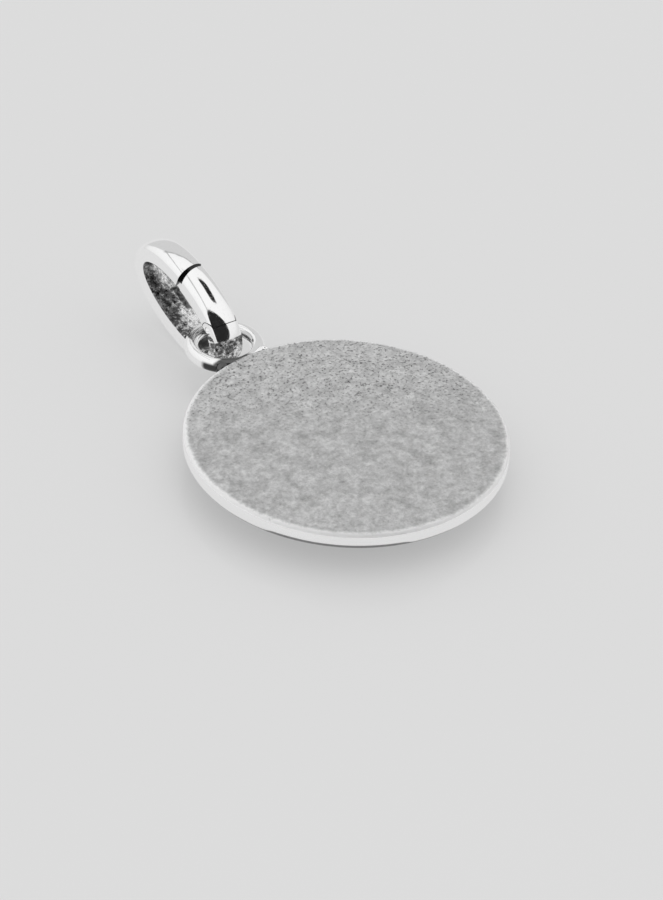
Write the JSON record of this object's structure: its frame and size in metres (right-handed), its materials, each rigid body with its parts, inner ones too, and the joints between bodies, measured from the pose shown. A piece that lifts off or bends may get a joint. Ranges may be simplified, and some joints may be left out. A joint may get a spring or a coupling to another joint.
{
  "type": "medal pendant",
  "caption": "Round cast devotional medal with a plain crowned back, a figure in relief on its front, a soldered hanging ring and an oval clip link with a sprung gate.",
  "frame": {"origin": "the middle of the flat worn top of the front relief, on which the medal lies", "axes": "+Z out of the plain back, +Y from the medal's middle towards its hanging ring, +X to the right as seen on the plain back with the ring at the top"},
  "size_m": [0.02, 0.0314, 0.006],
  "materials": {
    "cast_silver": "sterling silver as cast: matte and grainy on the faces, polished on the rim",
    "polished_silver": "highly polished sterling silver",
    "silver_solder": "silver solder, smoothed and bright",
    "spring_steel": "plain spring steel"
  },
  "bodies": {
    "medal": {"medal_disc": "cast_silver", "hanging_ring": "polished_silver", "ring_solder_left": "silver_solder", "ring_solder_right": "silver_solder"},
    "link": {"clip_body": "polished_silver", "gate_hinge_pin": "polished_silver", "gate_spring": "spring_steel"},
    "gate": {"clip_gate": "polished_silver"}
  },
  "joints": [
    {"name": "link_swing", "type": "hinge", "parent": "medal", "child": "link", "pos_m": [0.00032, 0.01409, 0.0023], "axis": [0.9982, -0.0593, 0], "range_deg": [-135, 105]},
    {"name": "gate_open", "type": "hinge", "parent": "link", "child": "gate", "pos_m": [0.00025, 0.01278, 0.00329], "axis": [-0.9982, 0.0593, 0], "range_deg": [0, 20], "stiffness_Nm_per_rad": 0.003, "springref_deg": -17.19}
  ]
}
